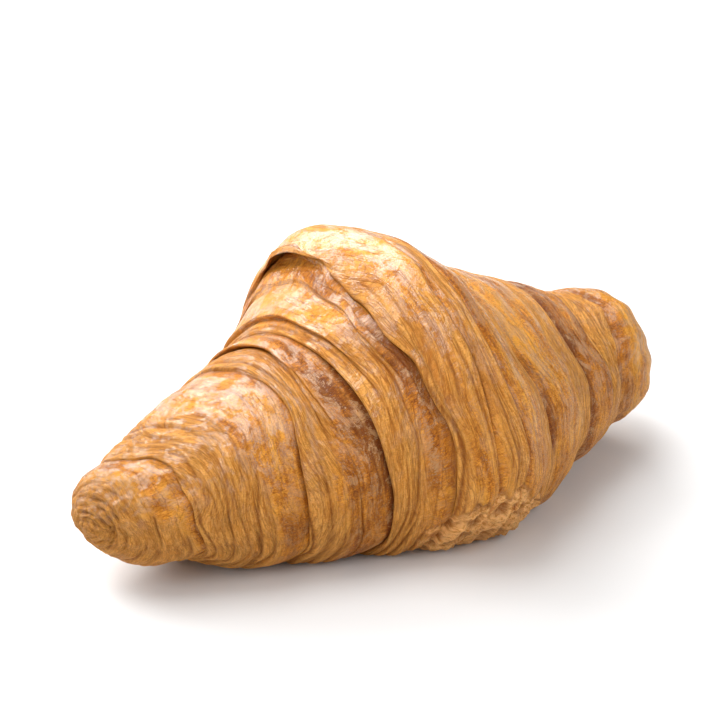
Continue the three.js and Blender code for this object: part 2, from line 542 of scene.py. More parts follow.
@dataclass(frozen=True)
class LayerEdges:
    """Edges of the sheet's thin layers: low steps that run around the roll, and come and go.

    Attributes:
        seed: Seed of the edges.
        pitch: Distance from row to row, in millimetres.
        relief: Height of the steps on the cut layers, in millimetres.
        on_skin: Share of that height on the skin.
        slope: Length over which the crust dips towards a step, in millimetres.
        cliff: Length of the step itself, in millimetres.
        shade: How dark the shade painted at the foot of a step is.
        middle: Place along the roll where the edges turn to face the other tip.
    """

    seed: int
    pitch: float
    relief: float
    on_skin: float
    slope: float
    cliff: float
    shade: float
    middle: float = -6.0

    # Distance of the first row from a tip, the length over which the share of their full size that
    # the rows there have grows by 1, and that share at the tip itself.
    FIRST, NOSE, SMALLEST = 0.25, 9.0, 0.15
    # Shares of the pitch from one row to the next.
    PITCHES = (0.7, 1.3)
    # Fewest edges in a row, and one more than the most.
    COUNTS = (2, 5)
    # Shift and half width of an edge around the roll, as shares of its part of the turn.
    SHIFTS, WIDTHS = (-0.2, 0.2), (0.7, 1.6)
    # Shift and slant of an edge along the roll, and how far it wanders, as shares of the pitch.
    OFFSETS, SLANTS, WANDER = (-0.3, 0.3), (-0.4, 0.4), 0.16
    # Shares of its half width over which an edge fades out around the roll.
    FADE = (0.5, 1.0)
    # Share of the relief that an edge has, and the share from which its painted shade and painted
    # highlight are at their full.
    HEIGHTS, CLEAR = (0.4, 1.25), 0.6
    # How far from its row an edge is worked out, in slopes and in millimetres on top of them.
    REACH, REACH_MORE = 4, 2.5
    # Painted shade at the foot of a step: its place behind the step, in millimetres, and its width, in
    # cliffs.
    FOOT_AT, FOOT_WIDTH = -0.05, 0.7
    # Place behind the step, in cliffs, of the highlight painted on its ridge.
    CREST_AT = 1.6
    # Number of seeds to draw from.
    SEEDS = 1 << 30

    def add(self, fields: Fields, along: np.ndarray, angle: np.ndarray, half: float) -> None:
        """Adds every edge to the crust.

        Args:
            fields: The crust, which is changed.
            along: Places along the roll.
            angle: Angles around it.
            half: Half the roll's length.
        """
        source = np.random.default_rng(self.seed)
        for facing in Facing:
            into = self.FIRST
            place = facing.value * (into - half)
            while facing.value * (self.middle - place) > 0:
                size = min(1.0, self.SMALLEST + into / self.NOSE)
                self.add_row(fields, source, place, size, facing, along, angle)
                into += self.pitch * size * source.uniform(*self.PITCHES)
                place = facing.value * (into - half)

    def add_row(
        self,
        fields: Fields,
        source: np.random.Generator,
        place: float,
        size: float,
        facing: Facing,
        along: np.ndarray,
        angle: np.ndarray,
    ) -> None:
        """Adds one row of edges, a few that end and begin around the roll.

        Args:
            fields: The crust, which is changed.
            source: Source of the row's unevenness.
            place: Place of the row along the roll.
            size: Share of the full pitch and slope, less than 1 near a tip.
            facing: Tip that the edges face.
            along: Places along the roll.
            angle: Angles around it.
        """
        slope, cliff, pitch = self.slope * size, self.cliff * size, self.pitch * size
        near = np.abs(along[:, 0] - place) < self.REACH * slope + self.REACH_MORE
        count = int(source.integers(*self.COUNTS))
        turn = source.uniform(0.0, TURN)
        for number in range(count):
            centre = turn + (number + source.uniform(*self.SHIFTS)) * TURN / count
            width = source.uniform(*self.WIDTHS) * math.pi / count
            away = (angle - centre + math.pi) % TURN - math.pi
            window = 1 - ramp(*self.FADE, np.abs(away) / width)
            seed = int(source.integers(self.SEEDS))
            wander = Waves(seed, turns=4, height=self.WANDER * pitch).ring(angle)
            wander += pitch * (source.uniform(*self.OFFSETS) + source.uniform(*self.SLANTS) * away)
            behind = facing.value * (along[near] - place - wander)
            shown = self.on_skin + (1 - self.on_skin) * fields.layers[near]
            height = self.relief * source.uniform(*self.HEIGHTS) * window * shown
            before = np.exp(np.minimum(behind, 0.0) / slope)
            fields.rise[near] -= height * np.where(behind < 0, before, 1 - ramp(0.0, cliff, behind))
            clear = np.minimum(height / (self.CLEAR * self.relief), 1.0)
            # Painted shade at the foot of the step.
            foot = self.shade * clear * bell(behind - self.FOOT_AT, self.FOOT_WIDTH * cliff)
            fields.painted_shade[near] = np.maximum(fields.painted_shade[near], foot)
            # Painted highlight on the ridge behind the step.
            crest_highlight = clear * bell(behind - self.CREST_AT * cliff, cliff)
            fields.edge[near] = np.maximum(fields.edge[near], crest_highlight)


@dataclass(frozen=True)
class TornEnd:
    """Torn end of the dough, low on the front, where the bare crumb shows. Sizes are in millimetres.

    Attributes:
        start: Place along the roll of its left end.
        end: Place along the roll of its right end.
        top: Angle of its ragged upper edge before it falls and sags, in degrees.
        slope: Fall of the upper edge to the right, in degrees for each millimetre.
        sag: Fall of the upper edge at both ends, in degrees.
        tray: Angles between which it fades out towards the tray, in degrees.
        step: How far it lies below the end of the wrap.
        lumps: Height of its lumps.
        ragged_top: Unevenness of the upper edge, in degrees.
        ragged_ends: Unevenness of both ends.
        ridges: Waves that cross 0 on the ridges of its lumps and are furthest from it in the pits.
        grain: Unevenness of the lumps themselves.
    """

    start: float = -12.0
    end: float = 16.0
    top: float = -13.0
    slope: float = 0.03
    sag: float = 12.0
    tray: Span = (-85.0, -60.0)
    step: float = 0.9
    lumps: float = 0.8
    ragged_top: tuple[Waves, ...] = (
        Waves(seed=71, turns=0, height=2.2, length=3.5),
        Waves(seed=72, turns=0, height=1.2, length=1.6),
    )
    ragged_ends: tuple[Waves, ...] = (
        Waves(seed=73, turns=40, height=1.6),
        Waves(seed=76, turns=12, height=1.2),
    )
    ridges: Waves = Waves(seed=74, turns=40, height=1.3, length=4.0, terms=24)
    grain: Waves = Waves(seed=75, turns=70, height=0.22, length=2.5, terms=24)

    # Distances from its left and right ends over which it fades out, and degrees under its top.
    LEFT_FADE, RIGHT_FADE, TOP_FADE = (-2.0, 0.5), (-0.5, 1.5), 2.0
    # Painted shade in its pits: at the foot of a ridge, its fall from there to the ridge, and its most.
    PIT, PIT_FALL, DARKEST = 0.35, 0.8, 0.8
    # Line of painted shade along its upper edge: degrees under the edge, half width in degrees, and
    # darkness.
    LINE_UNDER, LINE_WIDTH, LINE_SHADE = 1.0, 1.2, 0.75

    def add(self, fields: Fields, along: np.ndarray, angle: np.ndarray) -> None:
        """Adds the torn end to the crust.

        Args:
            fields: The crust, which is changed.
            along: Places along the roll.
            angle: Angles around it.
        """
        degrees = np.degrees(angle)
        part = (2 * along - self.start - self.end) / (self.end - self.start)
        top = self.top - self.slope * (along - self.start) - self.sag * part**4
        top = top + sum(waves.over(along, angle) for waves in self.ragged_top)
        place = along + sum(waves.ring(angle) for waves in self.ragged_ends)
        ends = ramp(*self.LEFT_FADE, place - self.start) * (1 - ramp(*self.RIGHT_FADE, place - self.end))
        ends = ends * ramp(*self.tray, degrees)
        torn = ends * (1 - ramp(top - self.TOP_FADE, top, degrees))
        lumps = 1.0 - np.abs(self.ridges.over(along, angle))
        fields.rise += torn * (self.lumps * lumps + self.grain.over(along, angle) - self.step)
        # Painted shade in the pits between the lumps, in place of the crease shade there.
        pits = np.clip(self.PIT - self.PIT_FALL * lumps, 0.0, self.DARKEST)
        fields.painted_shade = fields.painted_shade * (1 - torn) + torn * pits
        # Painted shade along the upper edge, under the end of the wrap.
        line = ends * bell(degrees - top + self.LINE_UNDER, self.LINE_WIDTH)
        fields.painted_shade = np.maximum(fields.painted_shade, self.LINE_SHADE * line)
        fields.crumb = np.maximum(fields.crumb, torn)
        fields.layers *= 1 - torn


@dataclass
class Roll:
    """The whole roll: its plain body, and how the wraps, layers and torn end stand on it.

    Its own sizes are in millimetres, and the unit takes them to metres.

    Attributes:
        radii: Radius at stations spaced evenly from the left tip to the right one.
        axis_heights: Height of the axis over the table at the same stations.
        seams: Creases between the wraps.
        layer_edges: Families of thin steps in the sheet.
        torn_end: Torn end of the dough.
        nose_layers: Width of the cut layers at the left tip, by angle.
        ragged_nose: Unevenness of that width.
        swells: Unevenness of the whole crust.
        length: Length from tip to tip.
        spread: Width over height of a ring.
        tilt: How far the front of a ring sits towards +X of its crown.
        left_end: Length over which the left tip rounds off.
        right_end: Length over which the right tip rounds off.
        right_dome: How far the right tip bulges out.
        right_bend: How far the right tip bends to the front.
        bend_from: Place along the roll where that bend starts.
        foot_rounding: Size of the rounding where the crust meets the table.
        rings: Number of rings of faces along the roll.
        sides: Number of faces around it.
        unit: Metres to one of the sizes.
        origin: Middle of the underside, in metres.
    """

    radii: tuple[float, ...] = (6.8, 14.5, 21.9, 28.3, 39.6, 34.2, 25.9, 19.1, 14.6)
    axis_heights: tuple[float, ...] = (17.3, 19.1, 19.5, 21.1, 29.1, 22.3, 22.2, 21.0, 22.8)
    seams: tuple[Seam, ...] = SEAMS
    layer_edges: tuple[LayerEdges, ...] = (
        LayerEdges(seed=5, pitch=3.2, relief=0.95, on_skin=0.22, slope=1.4, cliff=0.3, shade=0.9),
        LayerEdges(seed=6, pitch=1.3, relief=0.34, on_skin=0.35, slope=0.6, cliff=0.25, shade=0.5),
    )
    torn_end: TornEnd = TornEnd()
    nose_layers: Points = (
        (-60.0, 15.0), (-25.0, 14.5), (5.0, 12.0), (30.0, 8.0), (110.0, 8.5), (180.0, 9.0),
    )
    ragged_nose: Waves = Waves(seed=9, turns=5, height=0.8)
    swells: tuple[Waves, ...] = (
        Waves(seed=11, turns=4, height=0.40, length=26.0),
        Waves(seed=12, turns=14, height=0.22, length=8.0, terms=14),
    )
    length: float = 156.0
    spread: float = 1.2
    tilt: float = 2.5
    left_end: float = 10.5
    right_end: float = 12.8
    right_dome: float = 3.9
    right_bend: float = 4.0
    bend_from: float = 15.0
    foot_rounding: float = 1.4
    rings: int = 636
    sides: int = 156
    unit: float = MM
    origin: tuple[float, float, float] = (0.0, 0.0, 0.0)

    # How much closer the rings lie than on plain skin: at the tips, at seams and on cut layers.
    TIP_RINGS, SEAM_RINGS, LAYER_RINGS = 5.0, 2.6, 0.6
    # Length over which the tips' rings get less close, and lengths over which the others' do, before
    # the crease, behind its lip and at the end of the cut layers.
    TIP_FADE, CREASE_FADE, LIP_FADE, LAYER_FADE = 1.2, (-1.2, -0.2), 0.8, 1.0
    # How much closer the columns lie above the underside, and the heights of a ring of radius 1 over
    # which that starts.
    UPPER_SIDES, UPPER_START = 0.7, (-0.85, -0.5)
    # How much closer the columns lie at the torn end, and the angles in radians of its bottom and top.
    TORN_SIDES, TORN_START, TORN_STOP = 0.9, (-1.3, -0.9), (-0.1, 0.2)
    # Samples along the roll and around it for sharing out the rings and the columns.
    SAMPLES = (8001, 4001)
    # Swelling of a wrap: its least, its growth with the wrap's length, its most, and the share that
    # it loses on the crown and gains low down.
    SWELL_LEAST, SWELL_GROWTH, SWELL_MOST, SWELL_LOW = 0.35, 0.05, 1.3, 0.45
    # Half the length over which the cut layers of the left tip end.
    NOSE_FADE = 1.5
    # Seeds of the first seam and of the first seam's drift, and the step from seam to seam.
    SEAM_SEED, SEAM_SEED_STEP, DRIFT_SEED = 100, 7, 301
    # Unevenness of the drift, in turns of its waves and in millimetres.
    DRIFT_TURNS, DRIFT_HEIGHT = 12, 0.2
    # Share of the end rounding from which the crust's relief is at its full.
    FULL_RELIEF = 0.6

    @classmethod
    def in_box(cls, low: Vector, high: Vector) -> "Roll":
        """Makes a roll as long as a box, on the middle of the box's floor.

        Args:
            low: Lowest corner of the box, in metres.
            high: Highest corner of the box, in metres.

        Returns:
            The roll.
        """
        middle = (low + high) / 2
        return cls(unit=(high.x - low.x) / cls.length, origin=(middle.x, middle.y, low.z))

    def ring_places(self) -> np.ndarray:
        """Places of the rings along the roll, crowded where seams, layers and ends need them.

        Returns:
            One place for each ring, from tip to tip.
        """
        half = self.length / 2
        fine = np.linspace(-half, half, self.SAMPLES[0])
        density = 1.0 + self.TIP_RINGS * np.exp(-(half - np.abs(fine)) / self.TIP_FADE)
        for seam in self.seams:
            behind = seam.facing.value * (fine - seam.at)
            riser = ramp(*self.CREASE_FADE, behind) * (1 - ramp(0.0, self.LIP_FADE, behind - seam.RISER))
            width = max((width for _, width in seam.layers), default=0.0)
            layers = ramp(0.0, self.LAYER_FADE, behind) * (1 - ramp(0.0, self.LAYER_FADE, behind - width))
            density += self.SEAM_RINGS * riser + self.LAYER_RINGS * layers
        return share_out(fine, density, self.rings)

    def side_angles(self) -> np.ndarray:
        """Angles of the columns around the roll: wide apart on the underside, close at the torn end.

        Returns:
            One angle in radians for each column, from the bottom once around to it again.
        """
        fine = np.linspace(-math.pi / 2, 3 * math.pi / 2, self.SAMPLES[1])
        density = 1.0 - self.UPPER_SIDES * (1 - ramp(*self.UPPER_START, np.sin(fine)))
        density += self.TORN_SIDES * ramp(*self.TORN_START, fine) * (1 - ramp(*self.TORN_STOP, fine))
        return share_out(fine, density, self.sides)[:-1]

    def body(self, along: np.ndarray, angle: np.ndarray, slide: np.ndarray) -> np.ndarray:
        """Plain body of the roll.

        Args:
            along: Places along the roll.
            angle: Angles around it.
            slide: Shift of each point along X.

        Returns:
            A grid of points in millimetres, one row for each ring.
        """
        half = self.length / 2
        place = np.clip(along + slide, -half, half)
        radius = spline(self.radii, (place + half) / self.length)
        height = spline(self.axis_heights, (place + half) / self.length)
        rounding = self.end_rounding(along)
        x = along + (slide + self.tilt * np.cos(angle)) * rounding
        x = x + np.where(along > 0, self.right_dome * (1.0 - rounding), 0.0)
        curve = np.clip((place - self.bend_from) / (half - self.bend_from), 0.0, 1.0) ** 2
        y = -self.spread * radius * rounding * np.cos(angle) - self.right_bend * curve
        z = height + radius * rounding * np.sin(angle)
        return np.stack([x, y, z], axis=-1)

    def end_rounding(self, along: np.ndarray) -> np.ndarray:
        """Factor that rounds the roll off to nothing at its tips.

        Args:
            along: Places along the roll.

        Returns:
            1 along the roll and 0 at the tips.
        """
        end = np.where(along < 0, self.left_end, self.right_end)
        into = np.clip((np.abs(along) - (self.length / 2 - end)) / end, 0.0, 1.0)
        return np.sqrt(1.0 - into * into)

    def drift(self, along: np.ndarray, angle: np.ndarray) -> np.ndarray:
        """Shift along X that carries each ring with the seams beside it.

        Args:
            along: Places along the roll.
            angle: Angles around it.

        Returns:
            The shift of each point.
        """
        half = self.length / 2
        seams = sorted(self.seams, key=lambda seam: seam.at)
        places = [-half, *(seam.at for seam in seams), half]
        total = np.zeros(np.broadcast(along, angle).shape)
        for number, seam in enumerate(seams):
            hat = np.interp(along, places[number:number + 3], (0.0, 1.0, 0.0))
            ragged = Waves(self.DRIFT_SEED + number, self.DRIFT_TURNS, self.DRIFT_HEIGHT).ring(angle)
            total += hat * (around(seam.drift, np.degrees(angle)) + ragged)
        return total

    def cushions(self, along: np.ndarray, angle: np.ndarray) -> np.ndarray:
        """Swelling of each wrap between its two creases, which is most low down.

        Args:
            along: Places along the roll.
            angle: Angles around it.

        Returns:
            Rise of each point.
        """
        half = self.length / 2
        creases = [-half, *sorted(seam.at for seam in self.seams if seam.wrap), half]
        total = np.zeros(np.broadcast(along, angle).shape)
        for start, end in zip(creases, creases[1:]):
            part = np.clip((along - start) / (end - start), 0.0, 1.0)
            swell = min(self.SWELL_MOST, self.SWELL_LEAST + self.SWELL_GROWTH * (end - start))
            total += swell * (1.0 - self.SWELL_LOW * np.sin(angle)) * 4 * part * (1 - part)
        return total

    def crust(self, along: np.ndarray, angle: np.ndarray) -> Fields:
        """Works out what stands on the plain body.

        Args:
            along: Places along the roll.
            angle: Angles around it.

        Returns:
            What the crust is made of.
        """
        fields = Fields.plain(np.broadcast(along, angle).shape)
        for number, seam in enumerate(self.seams):
            seam.add(fields, along, angle, seed=self.SEAM_SEED + self.SEAM_SEED_STEP * number)
        nose = around(self.nose_layers, np.degrees(angle)) + self.ragged_nose.over(along, angle)
        past = along + self.length / 2 - nose
        fields.layers = np.maximum(fields.layers, 1 - ramp(-self.NOSE_FADE, self.NOSE_FADE, past))
        for edges in self.layer_edges:
            edges.add(fields, along, angle, self.length / 2)
        fields.rise += self.cushions(along, angle)
        for swell in self.swells:
            fields.rise += swell.over(along, angle)
        self.torn_end.add(fields, along, angle)
        fields.slide += self.drift(along, angle)
        return fields

    def grid(self) -> tuple[np.ndarray, Fields, np.ndarray, np.ndarray]:
        """Works out the crust's points: the body's own, moved along X and then straight out.

        Returns:
            The points in metres, what the crust is made of, and the place and angle of each.
        """
        along = self.ring_places()[:, None]
        angle = self.side_angles()[None, :]
        fields = self.crust(along, angle)
        plain = self.body(along, angle, 0 * fields.slide)
        sideways = np.roll(plain, -1, axis=1) - np.roll(plain, 1, axis=1)
        outwards = direction(np.cross(direction(np.gradient(plain, axis=0)), sideways))
        rise = fields.rise * ramp(0.0, self.FULL_RELIEF, self.end_rounding(along))
        points = self.body(along, angle, fields.slide) + outwards * rise[..., None]
        for tip in (0, -1):
            points[tip] = points[tip].mean(axis=0)
        z = points[..., 2]
        points[..., 2] = (z + np.sqrt(z * z + self.foot_rounding**2)) / 2
        return points * self.unit + np.array(self.origin), fields, along, angle


# ---------------------------------------------------------------------------------------------------
# Finish of the crust
# ---------------------------------------------------------------------------------------------------


class Graph:
    """Short way to write a material's nodes."""

    def __init__(self, material: bpy.types.Material) -> None:
        """Starts an empty graph in a material.

        Args:
            material: Material that gets the nodes.
        """
        material.use_nodes = True
        self.tree = material.node_tree
        self.tree.nodes.clear()

    def node(self, kind: str, **inputs: object) -> bpy.types.Node:
        """Adds a node.

        Args:
            kind: Type of the node, without its ShaderNode prefix.
            **inputs: Sockets or values for its inputs, with _ for a space in a name.

        Returns:
            The new node.
        """
        node = self.tree.nodes.new("ShaderNode" + kind)
        for name, value in inputs.items():
            self.feed(node.inputs[name.replace("_", " ")], value)
        return node

    def feed(self, socket: Socket, value: object) -> None:
        """Links a socket to another, or sets its value.

        Args:
            socket: Input to feed.
            value: The other socket, or a plain value.
        """
        if isinstance(value, Socket):
            self.tree.links.new(value, socket)
        else:
            socket.default_value = value

    def shader(self, **inputs: object) -> bpy.types.Node:
        """Adds a principled shader and the output that shows it.

        Args:
            **inputs: Sockets or values for the shader's inputs, with _ for a space in a name.

        Returns:
            The shader.
        """
        shader = self.node("BsdfPrincipled", **inputs)
        output = self.node("OutputMaterial")
        self.feed(output.inputs["Surface"], shader.outputs["BSDF"])
        return shader

    def math(self, operation: str, first: object, second: object) -> Socket:
        """Adds a sum on two values.

        Args:
            operation: Blender's name for the sum.
            first: First value.
            second: Second value.

        Returns:
            The result.
        """
        node = self.tree.nodes.new("ShaderNodeMath")
        node.operation = operation
        self.feed(node.inputs[0], first)
        self.feed(node.inputs[1], second)
        return node.outputs[0]

    def times(self, first: object, second: object) -> Socket:
        """Product of two values."""
        return self.math("MULTIPLY", first, second)

    def blend(self, parts: tuple[tuple[Socket, float], ...]) -> Socket:
        """Adds several values up, each with a weight of its own.

        Args:
            parts: Pairs of value and weight.

        Returns:
            The weighted sum.
        """
        total = None
        for value, weight in parts:
            part = self.times(value, weight)
            total = part if total is None else self.math("ADD", total, part)
        return total

    def uneven(self, base: Socket, parts: tuple[tuple[Socket, float], ...]) -> Socket:
        """Makes a value uneven with noises, which raise it as often as they lower it.

        Args:
            base: Value to make uneven.
            parts: Pairs of noise and the height of its swing.

        Returns:
            The uneven value.
        """
        for noise, swing in parts:
            centred = self.math("SUBTRACT", noise, 0.5)
            base = self.math("ADD", base, self.times(centred, swing))
        return base

    def mix(self, amount: object, first: object, second: object) -> Socket:
        """Mixes two colours.

        Args:
            amount: Share of the second colour.
            first: First colour, a socket or three numbers.
            second: Second colour, a socket or three numbers.

        Returns:
            The mixed colour.
        """
        node = self.tree.nodes.new("ShaderNodeMix")
        node.data_type = "RGBA"
        self.feed(node.inputs["Factor"], amount)
        for socket, value in zip(node.inputs[6:8], (first, second)):
            self.feed(socket, (*value, 1.0) if isinstance(value, tuple) else value)
        return node.outputs[2]

    def between(self, amount: Socket, first: object, second: object) -> Socket:
        """Value between two others.

        Args:
            amount: Share of the second value.
            first: First value.
            second: Second value.

        Returns:
            The value between them.
        """
        node = self.node("Mix", Factor=amount)
        self.feed(node.inputs[2], first)
        self.feed(node.inputs[3], second)
        return node.outputs[0]

    def attribute(self, name: str, output: str = "Fac") -> Socket:
        """Reads one of the mesh's own attributes.

        Args:
            name: Name of the attribute.
            output: Which of its values to read.

        Returns:
            The attribute's value.
        """
        node = self.tree.nodes.new("ShaderNodeAttribute")
        node.attribute_name = name
        return node.outputs[output]

    def levels(self, value: Socket, low: float, high: float, start: float = 0.0, end: float = 1.0) -> Socket:
        """Stretches the part of a value between two levels smoothly over a new span.

        Args:
            value: Value to stretch.
            low: Level that becomes the start of the span.
            high: Level that becomes its end.
            start: Start of the span.
            end: End of the span.

        Returns:
            The stretched value.
        """
        node = self.tree.nodes.new("ShaderNodeMapRange")
        node.interpolation_type = "SMOOTHSTEP"
        for socket, number in zip(node.inputs[:5], (value, low, high, start, end)):
            self.feed(socket, number)
        return node.outputs[0]


@dataclass(frozen=True)
class Pattern:
    """Noise over the crust.

    Attributes:
        scale: How many of its spots lie along one millimetre of the roll.
        around: Share of that across the roll; a small one makes streaks that run around it.
        detail: How many times finer spots are laid over the first.
        roughness: How strong the finer ones are.
        distortion: How much the spots are bent.
        swing: How far the noise swings the bake.
        height: Share of the fine relief that it makes.
    """

    scale: float
    around: tuple[float, float] = (1.0, 1.0)
    detail: float = 3.0
    roughness: float = 0.6
    distortion: float = 0.0
    swing: float = 0.0
    height: float = 0.0

    def add(self, graph: Graph, roll: Socket) -> Socket:
        """Adds the noise to a material.

        Args:
            graph: The material's nodes.
            roll: Place on the roll.

        Returns:
            The noise, from 0 to 1.
        """
        place = graph.node("Mapping", Vector=roll, Scale=(1.0, *self.around)).outputs[0]
        noise = graph.node(
            "TexNoise",
            Vector=place,
            Scale=self.scale,
            Detail=self.detail,
            Roughness=self.roughness,
            Distortion=self.distortion,
        )
        return noise.outputs["Fac"]


@dataclass(frozen=True)
class Lines(Pattern):
    """Thin lines where a noise crosses its middle.

    Attributes:
        width: Half the width of the lines, as a step of the noise.
        strength: How clear the lines are, from 0 to 1.
    """

    width: float = 0.03
    strength: float = 0.5

    def add(self, graph: Graph, roll: Socket) -> Socket:
        """Adds the lines to a material.

        Args:
            graph: The material's nodes.
            roll: Place on the roll.

        Returns:
            The strength on the lines and 0 beside them.
        """
        away = graph.math("ABSOLUTE", graph.math("SUBTRACT", super().add(graph, roll), 0.5), 0.0)
        return graph.times(graph.levels(away, 0.0, self.width, 1.0, 0.0), self.strength)


@dataclass(frozen=True)
class Marks:
    """Values that the parts of the finish share.

    Attributes:
        layers: The mesh's own attribute for the cut layers.
        painted_shade: The mesh's own attribute for the painted shade of creases, steps and the torn end.
        crumb: The mesh's own attribute for the torn end.
        edge: The mesh's own attribute for the crests of the layers' edges, where a highlight is painted.
        washed: Share of the egg wash at this height.
        streaks: Noise of the cut layers.
        fibres: Finest streaks.
        speckle: Fine grain.
        pores: Finest grain.
        wrinkles: Shallow wrinkles.
        flakes: Noise of the loose flakes and of the patches of egg wash.
        blisters: 1 on the blisters of the skin and 0 between them.
        darker: How brown the crust is baked, from less than 0 to more than 1.
        lines: Lines along which the layers part and the glaze is cracked, cut into the relief and darkened
            with painted shade.
    """

    layers: Socket
    painted_shade: Socket
    crumb: Socket
    edge: Socket
    washed: Socket
    streaks: Socket
    fibres: Socket
    speckle: Socket
    pores: Socket
    wrinkles: Socket
    flakes: Socket
    blisters: Socket
    darker: Socket
    lines: Socket


@dataclass(frozen=True)
class BakedCrust:
    """Egg-washed skin, cut layers, creases and torn crumb of baked dough, with painted shade and highlights.

    Colours are linear. A field that ends in _at holds the two levels of a noise or of the bake
    between which a change takes place.

    Attributes:
        golden: Palest skin.
        amber: Well baked skin.
        brown: Darkest skin.
        pale_blister_and_sheen: Thin blisters that have come loose from the skin, paler than it, and partly a
            painted highlight for their sheen.
        pale_layer_and_highlight: Palest lines of the cut layers, and the painted highlight on the crests of
            the layers' edges.
        layer: Darker lines of the cut layers.
        painted_shade: Painted shade for the depths of the creases, the feet of the steps, the torn end's
            pits and the lines between layers.
        crumb: Torn crumb.
        crumb_pit_shade: Painted shade in the pits of the torn crumb.
        bands: Broad paler and browner bands around the roll.
        patches: Blotches of the bake.
        flakes: Blisters and patches of egg wash.
        speckle: Fine grain.
        pores: Finest grain.
        wrinkles: Shallow wrinkles.
        streaks: Streaks of the cut layers.
        fibres: Finest streaks.
        splits: Lines along which the layers part.
        leaves: Finest lines between the cut layers.
        crackle: Cracks in the glaze.
        least_bake: Bake of the crust where no crease browns it.
        ragged_flakes: How far the finest grain frays the flakes.
        amber_at: Bake over which golden skin turns amber.
        brown_at: Bake over which amber skin turns brown.
        blister_at: Levels of the flakes over which a blister starts.
        loose_at: Bake over which the blisters come loose.
        loose: Share of their own colour, which is partly a painted sheen, that the blisters have before and
            after.
        fibre_swing: How far the fibres swing the streaks.
        pore_swing: How far the finest grain swings them.
        streak_at: Levels of the streaks over which a layer turns pale.
        baked_layer_at: Bake over which the cut layers turn amber.
        baked_layer: Share of amber that they have before and after.
        pit_at: Levels of the grain over which the painted shade of the pits turns to crumb.
        crest_highlight: Share of the palest colour painted as a highlight on the crests of the layers'
            edges.
        crease: Share of the painted shade at the bottom of a crease.
        rough_at: Levels of the grain over which the skin turns rougher.
        skin_roughness: Roughness of the skin before and after.
        layer_roughness: Roughness of the cut layers and the crumb.
        glaze_at: Levels of the flakes over which the egg wash starts on skin.
        layer_glaze_at: Levels of the flakes over which it starts on the cut layers.
        layer_glaze: Share of it on the cut layers before and after.
        dull_at: Bake over which the egg wash turns dull.
        dull: Share of it that shines before and after.
        wash_at: Heights over the axis between which the egg wash grows, in millimetres.
        wash: Share of the egg wash under them and over them, since it is brushed on from above.
        relief: Depth of the fine relief, in metres.
        blister_height: Share of the fine relief that the blisters make.
        line_depth: Share of the fine relief by which the lines cut in.
        bump: Strength of the fine relief on the crust.
        wash_bump: Strength of it on top of the egg wash, which fills it up in part.
        specular: Shine of the bare crust.
        wash_roughness: Roughness of the egg wash.
        wash_ior: Refractive index that gives the egg wash its shine.
        glow: Share of the light that goes through the skin.
        glow_colour: How far its red, green and blue go, next to each other.
        glow_depth: How far it goes, in metres.
    """

    golden: Colour = (0.84, 0.365, 0.045)
    amber: Colour = (0.56, 0.180, 0.012)
    brown: Colour = (0.18, 0.042, 0.004)
    pale_blister_and_sheen: Colour = (0.86, 0.520, 0.230)
    pale_layer_and_highlight: Colour = (0.82, 0.385, 0.085)
    layer: Colour = (0.57, 0.220, 0.032)
    painted_shade: Colour = (0.20, 0.046, 0.003)
    crumb: Colour = (0.95, 0.50, 0.175)
    crumb_pit_shade: Colour = (0.54, 0.205, 0.033)
    bands: Pattern = Pattern(0.30, (0.05, 0.05), 3.0, 0.55, swing=2.6)
    patches: Pattern = Pattern(0.13, (0.6, 0.6), 4.0, 0.6, 0.8, swing=2.0)
    flakes: Pattern = Pattern(0.42, (0.35, 0.35), 6.0, 0.68, 0.6)
    speckle: Pattern = Pattern(1.3, (1.0, 1.0), 5.0, 0.75, swing=2.6, height=0.34)
    pores: Pattern = Pattern(2.8, (1.0, 1.0), 3.0, 0.7, swing=2.2, height=0.20)
    wrinkles: Pattern = Pattern(0.8, (0.3, 0.3), 4.0, 0.6, 0.5, height=0.35)
    streaks: Pattern = Pattern(1.5, (0.045, 0.06), 4.0, 0.65, height=0.33)
    fibres: Pattern = Pattern(4.0, (0.08, 0.10), 3.0, 0.7, height=0.12)
    splits: Lines = Lines(0.8, (0.045, 0.06), 3.0, 0.6, width=0.03, strength=0.5)
    leaves: Lines = Lines(1.7, (0.03, 0.04), 2.0, 0.55, width=0.035, strength=0.45)
    crackle: Lines = Lines(0.9, (0.6, 0.7), 3.0, 0.6, 0.9, width=0.025, strength=0.3)
    least_bake: float = 0.1
    ragged_flakes: float = 0.45
    amber_at: Span = (-0.3, 0.7)
    brown_at: Span = (0.35, 1.5)
    blister_at: Span = (0.50, 0.57)
    loose_at: Span = (0.4, 1.4)
    loose: Span = (0.14, 0.42)
    fibre_swing: float = 1.0
    pore_swing: float = 0.9
    streak_at: Span = (0.3, 0.7)
    baked_layer_at: Span = (0.2, 1.7)
    baked_layer: Span = (0.0, 0.8)
    pit_at: Span = (0.35, 0.6)
    crest_highlight: float = 0.35
    crease: float = 0.75
    rough_at: Span = (0.3, 0.7)
    skin_roughness: Span = (0.30, 0.45)
    layer_roughness: float = 0.52
    glaze_at: Span = (0.46, 0.52)
    layer_glaze_at: Span = (0.50, 0.56)
    layer_glaze: Span = (0.0, 0.8)
    dull_at: Span = (0.5, 1.4)
    dull: Span = (1.0, 0.35)
    wash_at: Span = (-4.0, 34.0)
    wash: Span = (0.10, 1.0)
    relief: float = 1.0 * MM
    blister_height: float = 0.06
    line_depth: float = 0.27
    bump: float = 0.9
    wash_bump: float = 0.35
    specular: float = 0.15
    wash_roughness: float = 0.2
    wash_ior: float = 1.8
    glow: float = 0.08
    glow_colour: Colour = (1.0, 0.35, 0.12)
    glow_depth: float = 1.2 * MM

